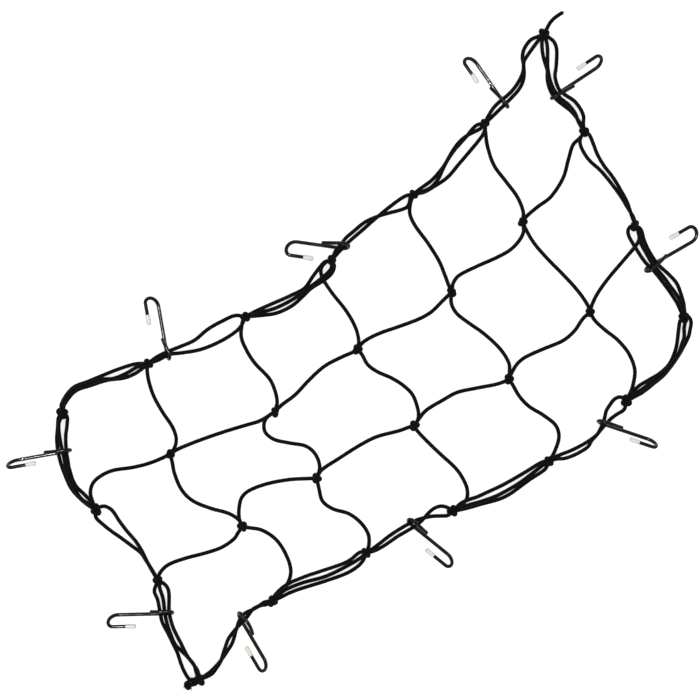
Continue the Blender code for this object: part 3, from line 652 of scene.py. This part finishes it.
def eye_height(hook, strands, cord_radius, wire_radius):
    """How far the short leg lies above the shank to clear the strands under it."""
    eye, along, left = hook_frame(hook)
    reach = wire_radius + cord_radius + WIRE_GAP
    offsets = strands[:, :2] - eye
    lengths = offsets @ along
    leg_sideways = (hook.eye_left * MM, hook.leg_left * MM)
    sideways = offsets @ left - np.interp(lengths, (0, hook.leg_length * MM), leg_sideways)
    under = (abs(sideways) < reach) & (lengths > 0) & (lengths < EYE_LEVEL_LENGTH)
    needed = strands[under, 2] + np.sqrt(reach**2 - sideways[under] ** 2)
    return max(EYE_LEAST_HEIGHT, needed.max(initial=0) - wire_radius)


def hook_points(hook, height, wire_radius):
    """The middle line of the wire, from the short leg's end round the eye to the J bend's tip."""
    eye, along, left = hook_frame(hook)
    turned_up = math.radians(hook.turned_up)
    eye_left, leg_left, leg_length = hook.eye_left * MM, hook.leg_left * MM, hook.leg_length * MM
    bow = LEG_BOWS.get(HOOKS.index(hook) + 1, 0) * MM
    radius, bend = height / 2, J_WIDTH / 2
    bend_start = hook.length * MM - bend * (1 + J_EASE * math.pi / 4)

    def spot(length, sideways, up):
        return np.array([*(eye + length * along + sideways * left), wire_radius + up])

    def on_leg(length):
        sideways = np.interp(length, (radius, leg_length), (eye_left, leg_left))
        sideways += bow * math.sin(math.pi * (length - radius) / (leg_length - radius))
        fall = np.interp(length, (EYE_LEVEL_LENGTH, leg_length), (0, height - LEG_END_RISE))
        return spot(length, sideways, height - fall)

    def on_bend(length, out):
        return spot(length, hook.side * out * math.cos(turned_up), out * math.sin(turned_up))

    angles = [math.pi * i / (ARC_STEPS - 1) for i in range(ARC_STEPS)]
    leg = [on_leg(length) for length in np.linspace(leg_length, radius, LEG_POINTS)]
    points = list(smooth_route(leg, LEG_STEP))[:-1]
    for angle in angles:
        back = radius - radius * math.sin(angle)
        up = radius + radius * math.cos(angle)
        points.append(spot(back, eye_left * (1 + math.cos(angle)) / 2, up))
    for length in np.arange(radius + SHANK_STEP, bend_start - SHANK_STEP / 2, SHANK_STEP):
        points.append(spot(length, 0, 0))
    for angle in angles:
        forth = math.sin(angle) + J_EASE * (angle / 2 + math.sin(2 * angle) / 4)
        out = bend * (1 - math.cos(angle) + J_EASE * math.sin(angle) ** 2 / 2)
        points.append(on_bend(bend_start + bend * forth, out))
    points.append(on_bend((hook.length - hook.cap_back) * MM - TIP_INSIDE, J_WIDTH))
    return np.array(points)


def knot_turns(name, share_out=1.0):
    """The closed middle line of a knot's cord: three turns, each over one and under the next."""
    knot = KNOTS[name]
    lobes = (knot.lobe_1, knot.lobe_2, knot.lobe_3)
    t = np.linspace(0, math.tau, KNOT_STEPS, endpoint=False)
    east = np.sin(t) + 2 * np.sin(2 * t)
    north = np.cos(t) - 2 * np.cos(2 * t)
    turned = np.arctan2(north, east)
    reach = np.zeros(KNOT_STEPS)
    for (way, length), (peak, plain_way) in zip(lobes, KNOT_TURNS):
        share = (1 + 2 * np.cos(t - math.radians(peak))) / 3
        turned = turned + share * math.radians(way - plain_way)
        reach += share * (length * MM - bpy.context.scene.cord.turn_radius)
    reach *= np.hypot(east, north) / 3 * share_out
    plan = knot_place(name) + reach[:, None] * np.column_stack([np.cos(turned), np.sin(turned)])
    middle = knot_size(name).middle + KNOT_LIFT
    return np.column_stack([plan, middle - KNOT_RISE * np.sin(3 * t)])


# ---------------- shaping


def deselect_all():
    bpy.ops.object.select_all(action="DESELECT")


def make_active(obj):
    deselect_all()
    obj.select_set(True)
    bpy.context.view_layer.objects.active = obj


def upright_cylinder(sides, radius, height, middle):
    """A cylinder along Z with its middle at that place on it."""
    deselect_all()
    bpy.ops.mesh.primitive_cylinder_add(
        vertices=sides, radius=radius, depth=height, location=(0, 0, middle)
    )
    bpy.ops.object.transform_apply(location=True, rotation=True, scale=True)
    return bpy.context.object


def move_to(obj, spot, heading):
    """Moves a piece's mesh so that its middle is at the spot and its +Z points that way."""
    turn = heading.to_track_quat("Z", "Y").to_matrix().to_4x4()
    obj.data.transform(Matrix.Translation(spot) @ turn)


def select_faces(obj, wanted):
    """Leaves the object in edit mode with only the wanted faces selected."""
    make_active(obj)
    bpy.ops.object.mode_set(mode="EDIT")
    bpy.ops.mesh.select_mode(type="FACE")
    bpy.ops.mesh.select_all(action="DESELECT")
    shape = bmesh.from_edit_mesh(obj.data)
    for face in shape.faces:
        face.select_set(wanted(face))
    bmesh.update_edit_mesh(obj.data)


def cord_mesh(name, points, radius, rounds, closed=False, swell=None):
    """A round tube along the points as a closed mesh.

    Its UV map runs once around it and in metres along it.
    """
    curve = bpy.data.curves.new(name, "CURVE")
    curve.dimensions = "3D"
    curve.bevel_depth = radius
    curve.bevel_resolution = rounds
    curve.use_fill_caps = not closed
    curve.twist_mode = "MINIMUM"
    spline = curve.splines.new("POLY")
    spline.points.add(len(points) - 1)
    for spot, point in zip(spline.points, points):
        spot.co = (*point, 1.0)
    if swell is not None:
        for spot, share in zip(spline.points, swell):
            spot.radius = share
    spline.use_cyclic_u = closed
    obj = bpy.data.objects.new(name, curve)
    bpy.context.scene.collection.objects.link(obj)
    make_active(obj)
    bpy.ops.object.convert(target="MESH")
    obj = bpy.context.object
    length = lengths_along(points)[-1]
    around_along = obj.data.uv_layers[0].uv
    for corner in around_along:
        corner.vector = (corner.vector[0], corner.vector[1] * length)
    return obj


def join_pieces(name, pieces):
    """One object from several."""
    deselect_all()
    for piece in pieces:
        piece.select_set(True)
    bpy.context.view_layer.objects.active = pieces[0]
    if len(pieces) > 1:
        bpy.ops.object.join()
    whole = bpy.context.object
    whole.name = name
    whole.data.name = name
    return whole


def finish_piece(obj, material, slot, *nodes, angle=50):
    """Merges, turns outwards and smooths a piece, and gives it its finish and its solid's place."""
    make_active(obj)
    bpy.ops.object.mode_set(mode="EDIT")
    bpy.ops.mesh.select_all(action="SELECT")
    bpy.ops.mesh.remove_doubles(threshold=MERGE_DISTANCE)
    bpy.ops.mesh.normals_make_consistent(inside=False)
    bpy.ops.object.mode_set(mode="OBJECT")
    bpy.ops.object.shade_smooth_by_angle(angle=math.radians(angle))
    obj.data.materials.append(material)
    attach(obj, "root")
    if nodes:
        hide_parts(*nodes)
    deselect_all()
    return obj


def lay_cord(name, strands, settings):
    """One piece of cord from several strands."""
    pieces = []
    for number, (start, end, points) in enumerate(strands):
        if end is None:
            along = lengths_along(points)
            points = points[along < along[-1] - BARE_CORE[start]]
        pieces.append(cord_mesh(f"{name}_{number}", points, settings.radius, CORD_ROUND))
    return join_pieces(name, pieces)


# ---------------- finishes


class Finish:
    """A material whose nodes are added by short calls."""

    def __init__(self, name):
        self.material = bpy.data.materials.new(name)
        self.material.use_nodes = True
        self.tree = self.material.node_tree
        self.shader = self.tree.nodes["Principled BSDF"]

    def put(self, socket, value):
        if isinstance(value, bpy.types.NodeSocket):
            self.tree.links.new(value, socket)
        else:
            socket.default_value = value

    def shade(self, **values):
        for name, value in values.items():
            self.put(self.shader.inputs[name.replace("_", " ")], value)

    def math(self, operation, *values):
        node = self.tree.nodes.new("ShaderNodeMath")
        node.operation = operation
        for socket, value in zip(node.inputs, values):
            self.put(socket, value)
        return node.outputs[0]

    def pick(self, share, low, high):
        """low where share is 0 and high where it is 1."""
        node = self.tree.nodes.new("ShaderNodeMix")
        node.data_type = "FLOAT"
        for name, value in (("Factor", share), ("A", low), ("B", high)):
            self.put(node.inputs[name], value)
        return node.outputs["Result"]

    def blend(self, share, low, high):
        """Colours mixed by share."""
        node = self.tree.nodes.new("ShaderNodeMix")
        node.data_type = "RGBA"
        self.put(node.inputs["Factor"], share)
        for index, colour in ((6, low), (7, high)):
            if not isinstance(colour, bpy.types.NodeSocket):
                colour = (*colour, 1.0)
            self.put(node.inputs[index], colour)
        return node.outputs[2]

    def coordinates(self, name):
        return self.tree.nodes.new("ShaderNodeTexCoord").outputs[name]

    def vector(self, *values):
        node = self.tree.nodes.new("ShaderNodeCombineXYZ")
        for socket, value in zip(node.inputs, values):
            self.put(socket, value)
        return node.outputs[0]

    def split(self, vector):
        node = self.tree.nodes.new("ShaderNodeSeparateXYZ")
        self.put(node.inputs[0], vector)
        return node.outputs

    def noise(self, vector, scale, detail=3.0):
        node = self.tree.nodes.new("ShaderNodeTexNoise")
        self.put(node.inputs["Vector"], vector)
        self.put(node.inputs["Scale"], scale)
        self.put(node.inputs["Detail"], detail)
        return node.outputs["Fac"]

    def spread(self, value, low, high, to_low, to_high):
        """A value moved from the one range to the other."""
        node = self.tree.nodes.new("ShaderNodeMapRange")
        names = ("Value", "From Min", "From Max", "To Min", "To Max")
        for name, amount in zip(names, (value, low, high, to_low, to_high)):
            self.put(node.inputs[name], amount)
        return node.outputs[0]

    def spread_noise(self, noise, to_low, to_high):
        return self.spread(noise, *NOISE_RANGE, to_low, to_high)

    def bump(self, height, depth, strength=1.0):
        node = self.tree.nodes.new("ShaderNodeBump")
        for name, value in (("Height", height), ("Distance", depth), ("Strength", strength)):
            self.put(node.inputs[name], value)
        return node.outputs[0]


@functools.cache
def braided_sheath():
    """Fine round braid: yarns of both hands crossing over and under each other, with shade painted
    in: the grooves between the yarns are coloured darker than the crowns.
    """
    cord = bpy.context.scene.cord
    finish = Finish("braided_sheath")
    around, along, _ = finish.split(finish.coordinates("UV"))
    around = finish.math("MULTIPLY", around, cord.yarns)
    along = finish.math("MULTIPLY", along, 1 / cord.yarn_pitch)
    right = finish.math("ADD", around, along)
    left = finish.math("SUBTRACT", around, along)
    cells = finish.math("ADD", finish.math("FLOOR", right), finish.math("FLOOR", left))
    left_on_top = finish.math("FLOORED_MODULO", cells, 2.0)
    in_right = finish.math("FRACT", right)
    in_left = finish.math("FRACT", left)
    across = finish.pick(left_on_top, in_right, in_left)
    lengthwise = finish.pick(left_on_top, in_left, in_right)
    crown = finish.math("SQRT", finish.math("SINE", finish.math("MULTIPLY", across, math.pi)))
    hump = finish.math("SINE", finish.math("MULTIPLY", lengthwise, math.pi))
    yarn = finish.math("MULTIPLY", crown, finish.math("MULTIPLY_ADD", hump, 0.5, 0.5))
    place_on_net = finish.coordinates("Object")
    fibres = finish.noise(
        finish.vector(
            finish.math("MULTIPLY", across, 7.0),
            finish.math("MULTIPLY", lengthwise, 0.9),
            finish.math("MULTIPLY", cells, 0.37),
        ),
        1.0,
        2.0,
    )
    dust = finish.noise(place_on_net, 70.0, 4.0)
    wear = finish.noise(place_on_net, 9.0, 2.0)
    # Painted shade: the yarns' height picks the colour, so grooves, flanks and dips under the
    # crossing yarn come out darker than the crowns; fibres and wear only add random tone
    shade = finish.math("MULTIPLY", yarn, finish.spread_noise(fibres, 0.65, 1.25))
    shade = finish.math("MULTIPLY", shade, finish.spread_noise(wear, 0.8, 1.2))
    finish.shade(
        Base_Color=finish.blend(shade, cord.groove_shade_colour, cord.colour),
        Roughness=finish.spread_noise(dust, 0.62, 0.86),
        Specular_IOR_Level=0.04,
        Sheen_Weight=0.03,
        Sheen_Roughness=0.45,
        Normal=finish.bump(finish.math("MULTIPLY_ADD", fibres, 0.18, yarn), 0.00016),
    )
    return finish.material


@functools.cache
def rubber_core():
    """Cut ends of the pale rubber core's strands inside the sheath, with painted shade darkening
    the gaps between them.
    """
    cord = bpy.context.scene.cord
    finish = Finish("rubber_core")
    spots = finish.tree.nodes.new("ShaderNodeTexVoronoi")
    finish.put(spots.inputs["Vector"], finish.coordinates("Object"))
    finish.put(spots.inputs["Scale"], 1700.0)
    # Painted shade: the gaps between the thread ends are coloured darker than the ends, shade
    # painted into the rubber's colour; the same pattern gives the bump
    thread_ends_and_gap_shade = finish.spread(spots.outputs["Distance"], 0.2, 0.6, 1.0, 0.0)
    darker = [part * 0.62 for part in cord.core_colour]
    finish.shade(
        Base_Color=finish.blend(thread_ends_and_gap_shade, darker, cord.core_colour),
        Roughness=finish.spread_noise(finish.noise(finish.coordinates("Object"), 900.0), 0.5, 0.7),
        Subsurface_Weight=0.15,
        Subsurface_Radius=(0.001, 0.0008, 0.0005),
        Normal=finish.bump(thread_ends_and_gap_shade, 0.00012),
    )
    return finish.material


@functools.cache
def coated_wire():
    """Black coat on the wire: glossy, slightly uneven, with faint rubbed places."""
    hook = bpy.context.scene.hook
    finish = Finish("coated_wire")
    spot = finish.coordinates("Object")
    ripple = finish.noise(spot, 520.0, 2.0)
    waves = finish.noise(spot, 85.0, 1.0)
    rubbed = finish.noise(spot, 85.0, 5.0)
    uneven = finish.math("MULTIPLY_ADD", waves, 18.0, ripple)
    lighter = [part * 2.2 for part in hook.colour]
    finish.shade(
        Base_Color=finish.blend(finish.spread(rubbed, 0.5, 0.75, 0.0, 1.0), hook.colour, lighter),
        Roughness=finish.spread_noise(rubbed, hook.roughness - 0.06, hook.roughness + 0.10),
        Specular_IOR_Level=0.17,
        Normal=finish.bump(uneven, 0.000008, 0.6),
    )
    return finish.material


@functools.cache
def milky_vinyl():
    """Soft translucent vinyl, a little cloudy."""
    caps = bpy.context.scene.caps
    finish = Finish("milky_vinyl")
    spot = finish.coordinates("Object")
    cloud = finish.noise(spot, 160.0, 3.0)
    fine = finish.noise(spot, 900.0, 2.0)
    darker = [part * 0.86 for part in caps.colour]
    finish.shade(
        Base_Color=finish.blend(finish.spread_noise(cloud, 0.0, 1.0), darker, caps.colour),
        Roughness=finish.spread_noise(fine, 0.34, 0.46),
        Specular_IOR_Level=0.45,
        Subsurface_Weight=0.30,
        Subsurface_Radius=(0.0022, 0.0022, 0.0018),
        Normal=finish.bump(fine, 0.00004, 0.5),
    )
    return finish.material


@functools.cache
def floor_paper():
    """Plain matt paper with a faint grain."""
    stage = bpy.context.scene.stage
    finish = Finish("floor_paper")
    grain = finish.noise(finish.coordinates("Object"), 400.0, 3.0)
    darker = [part * 0.985 for part in stage.floor_colour]
    finish.shade(
        Base_Color=finish.blend(grain, darker, stage.floor_colour),
        Roughness=0.9,
        Specular_IOR_Level=0.1,
    )
    return finish.material


# ---------------- operators


class NET_OT_strands(bpy.types.Operator):
    """Lay the strands of elastic cord from knot to knot"""

    bl_idname = "cargo_net.strands"
    bl_label = "Lay strands"

    def execute(self, context):
        cord = context.scene.cord
        inner, border, _ = laid_net(cord.radius, context.scene.hook.radius)
        rows = [strand for strand in inner if strand[0][0] == strand[1][0]]
        columns = [strand for strand in inner if strand[0][0] != strand[1][0]]
        for name, strands in (("net_rows", rows), ("net_columns", columns), ("net_border", border)):
            piece = lay_cord(name, strands, cord)
            finish_piece(piece, braided_sheath(), "cord", "net")
        return {"FINISHED"}


class NET_OT_knots(bpy.types.Operator):
    """Tie a knot wherever strands cross"""

    bl_idname = "cargo_net.knots"
    bl_label = "Tie knots"

    def execute(self, context):
        radius = context.scene.cord.turn_radius
        pieces = []
        for name in KNOTS:
            turns = (1.0, INNER_TURNS) if KNOTS[name].size == "border" else (1.0,)
            for share_out in turns:
                points = knot_turns(name, share_out)
                pieces.append(cord_mesh(f"knot_{name}", points, radius, CORD_ROUND, closed=True))
        finish_piece(join_pieces("net_knots", pieces), braided_sheath(), "cord", "net")
        return {"FINISHED"}


class NET_OT_cut_ends(bpy.types.Operator):
    """Trim the free ends so that the rubber core shows"""

    bl_idname = "cargo_net.cut_ends"
    bl_label = "Trim cut ends"

    def execute(self, context):
        cord = context.scene.cord
        _, border, _ = laid_net(cord.radius, context.scene.hook.radius)
        pieces = []
        for start, end, points in border:
            if end is not None:
                continue
            tip = Vector(points[-1])
            back = (Vector(points[-3]) - tip).normalized()
            length = BARE_CORE[start] + CORE_HIDDEN
            pieces.append(self.core(cord.core_radius, length, tip, back))
        finish_piece(join_pieces("net_cut_ends", pieces), rubber_core(), "cord", "net", angle=35)
        return {"FINISHED"}

    def core(self, radius, length, tip, back):
        """A stub of rubber core whose end is slightly rounded, with a dimple from the cut."""
        obj = upright_cylinder(CORE_SIDES, radius, length, -length / 2)
        select_faces(obj, lambda face: face.normal.z > FACING)
        for width, rise in CORE_STEPS:
            bpy.ops.mesh.inset(thickness=radius * width, depth=radius * rise)
        bpy.ops.object.mode_set(mode="OBJECT")
        move_to(obj, tip, -back)
        return obj


class NET_OT_hooks(bpy.types.Operator):
    """Bend the ten wire hooks"""

    bl_idname = "cargo_net.hooks"
    bl_label = "Bend hooks"

    def execute(self, context):
        radius = context.scene.hook.radius
        for number, points in enumerate(hook_lines(context), 1):
            wire = self.with_cut_ends(points, radius)
            swell = np.ones(len(wire))
            swell[0] = swell[-1] = CUT_FACE
            obj = cord_mesh(f"hook_{number}_wire", wire, radius, WIRE_ROUND, swell=swell)
            finish_piece(obj, coated_wire(), "hook_wire", f"hook_{number}", angle=40)
        return {"FINISHED"}

    def with_cut_ends(self, points, radius):
        """The same line with a point just inside each end, for a small bevel round the cut."""
        bevel = radius * CUT_BEVEL
        first = points[1] - points[0]
        last = points[-2] - points[-1]
        near = points[0] + first / np.linalg.norm(first) * bevel
        far = points[-1] + last / np.linalg.norm(last) * bevel
        return np.vstack([points[:1], near, points[1:-1], far, points[-1:]])


def hook_lines(context):
    """The middle line of each hook's wire."""
    cord_radius = context.scene.cord.radius
    wire_radius = context.scene.hook.radius
    _, _, strands = laid_net(cord_radius, wire_radius)
    heights = [eye_height(hook, strands, cord_radius, wire_radius) for hook in HOOKS]
    return [hook_points(hook, height, wire_radius) for hook, height in zip(HOOKS, heights)]


class NET_OT_caps(bpy.types.Operator):
    """Push a soft cap on the tip of each hook"""

    bl_idname = "cargo_net.caps"
    bl_label = "Fit caps"

    def execute(self, context):
        pattern = self.model_cap(context.scene.caps)
        for number, points in enumerate(hook_lines(context), 1):
            tip = Vector(points[-1])
            back = (Vector(points[-2]) - tip).normalized()
            mouth = tip + back * TIP_INSIDE
            obj = bpy.data.objects.new(f"hook_{number}_cap", pattern.data.copy())
            bpy.context.scene.collection.objects.link(obj)
            move_to(obj, mouth, -back)
            finish_piece(obj, milky_vinyl(), "cap", f"cap_{number}", angle=60)
        bpy.data.objects.remove(pattern)
        return {"FINISHED"}

    def model_cap(self, caps):
        """A blind sleeve on +Z: rounded closed end, open mouth with a bore."""
        obj = upright_cylinder(CAP_SIDES, caps.radius, CAP_LENGTH, CAP_LENGTH / 2)
        select_faces(obj, lambda face: face.normal.z < -FACING)
        bpy.ops.transform.resize(value=(CAP_TAPER, CAP_TAPER, 1))
        bpy.ops.mesh.inset(thickness=CAP_LIP, depth=CAP_LIP * 0.5)
        bpy.ops.mesh.inset(thickness=caps.radius * CAP_TAPER - caps.bore_radius - CAP_LIP)
        bpy.ops.mesh.extrude_region_move(TRANSFORM_OT_translate={"value": (0, 0, CAP_BORE_DEPTH)})
        bpy.ops.object.mode_set(mode="OBJECT")
        select_faces(obj, self.is_closed_end)
        bpy.ops.mesh.bevel(
            offset=caps.radius * CAP_ROUNDING, segments=8, profile=0.5, affect="EDGES"
        )
        bpy.ops.object.mode_set(mode="OBJECT")
        return obj

    def is_closed_end(self, face):
        return face.normal.z > FACING and face.calc_center_median().z > CAP_LENGTH * 0.99


class NET_OT_stage(bpy.types.Operator):
    """Set the floor, the lights and the camera"""

    bl_idname = "cargo_net.stage"
    bl_label = "Set stage"

    def execute(self, context):
        scene = context.scene
        stage = scene.stage
        deselect_all()
        bpy.ops.mesh.primitive_plane_add(size=FLOOR_SIZE, location=(0, 0, -FLOOR_DROP))
        floor = bpy.context.object
        floor.name = "floor"
        floor.data.materials.append(floor_paper())
        deselect_all()
        tilt = [math.radians(angle) for angle in KEY_TILT]
        bpy.ops.object.light_add(type="SUN", location=(0, 0, KEY_HEIGHT), rotation=(*tilt, 0))
        lamp = bpy.context.object
        lamp.name = "key_lamp"
        lamp.data.energy = stage.key_strength
        lamp.data.angle = stage.key_spread
        lamp.data.use_shadow = False
        world = bpy.data.worlds.new("studio")
        world.use_nodes = True
        sky = world.node_tree.nodes["Background"]
        sky.inputs["Color"].default_value = (1.0, 1.0, 1.0, 1.0)
        sky.inputs["Strength"].default_value = stage.sky_strength
        scene.world = world
        scene.view_settings.view_transform = "Standard"
        camera = bpy.data.cameras.new("camera")
        camera.sensor_width = SENSOR_WIDTH
        camera.lens = stage.camera_height * camera.sensor_width / stage.seen_width
        holder = bpy.data.objects.new("camera", camera)
        scene.collection.objects.link(holder)
        holder.location = (*place(*CAMERA_OVER), stage.camera_height)
        holder.rotation_euler = (0, 0, math.radians(CAMERA_TURN))
        scene.camera = holder
        return {"FINISHED"}


class NET_PT_panel(bpy.types.Panel):
    """Steps that make the net, in their order"""

    bl_idname = "NET_PT_panel"
    bl_label = "Cargo net"
    bl_space_type = "VIEW_3D"
    bl_region_type = "UI"
    bl_category = "Cargo net"

    def draw(self, context):
        for settings in SETTINGS:
            group = getattr(context.scene, settings)
            box = self.layout.box()
            for name in group.__annotations__:
                box.prop(group, name)
        for operator in OPERATORS:
            self.layout.operator(operator.bl_idname)


SETTINGS = {"cord": CordSettings, "hook": HookSettings, "caps": CapSettings, "stage": StageSettings}
OPERATORS = (NET_OT_strands, NET_OT_knots, NET_OT_cut_ends, NET_OT_hooks, NET_OT_caps, NET_OT_stage)


def register():
    for name, group in SETTINGS.items():
        bpy.utils.register_class(group)
        setattr(bpy.types.Scene, name, PointerProperty(type=group))
    for kind in (*OPERATORS, NET_PT_panel):
        bpy.utils.register_class(kind)


def unregister():
    for kind in (NET_PT_panel, *reversed(OPERATORS)):
        bpy.utils.unregister_class(kind)
    for name, group in SETTINGS.items():
        delattr(bpy.types.Scene, name)
        bpy.utils.unregister_class(group)


def main():
    register()
    bpy.ops.cargo_net.strands()
    bpy.ops.cargo_net.knots()
    bpy.ops.cargo_net.cut_ends()
    bpy.ops.cargo_net.hooks()
    bpy.ops.cargo_net.caps()
    bpy.ops.cargo_net.stage()


if __name__ == "__main__":
    main()
